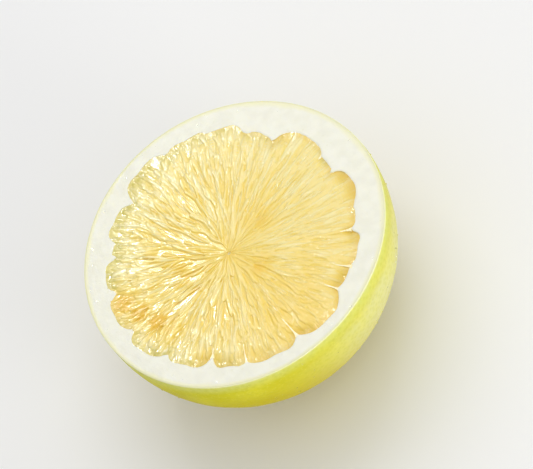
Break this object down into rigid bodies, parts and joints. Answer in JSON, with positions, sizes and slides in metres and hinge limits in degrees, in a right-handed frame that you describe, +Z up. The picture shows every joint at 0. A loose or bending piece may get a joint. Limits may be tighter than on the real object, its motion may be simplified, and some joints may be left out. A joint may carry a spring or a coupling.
{
  "type": "pomelo half",
  "caption": "Half of a pomelo cut crosswise: yellow-green rind, thick white pith and pale yellow segments round a small core, resting on its blossom end with the cut face up.",
  "frame": {"origin": "centre of the small flat spot at the blossom end, which the half rests on", "axes": "+Z up along the fruit's axis, from the blossom end to the cut face; +X from the core towards the side with the thickest pith"},
  "size_m": [0.1491, 0.1509, 0.07],
  "materials": {
    "rind": "satin wax over fine oil glands, yellow-green",
    "pith": "damp, spongy, white",
    "segment_skin": "thin, damp, translucent",
    "flesh": "wet, translucent, pale yellow",
    "blossom_scar": "dry, corky, brown",
    "water": "clear drops"
  },
  "bodies": {
    "root": {"pomelo_half": "rind"}
  },
  "joints": []
}
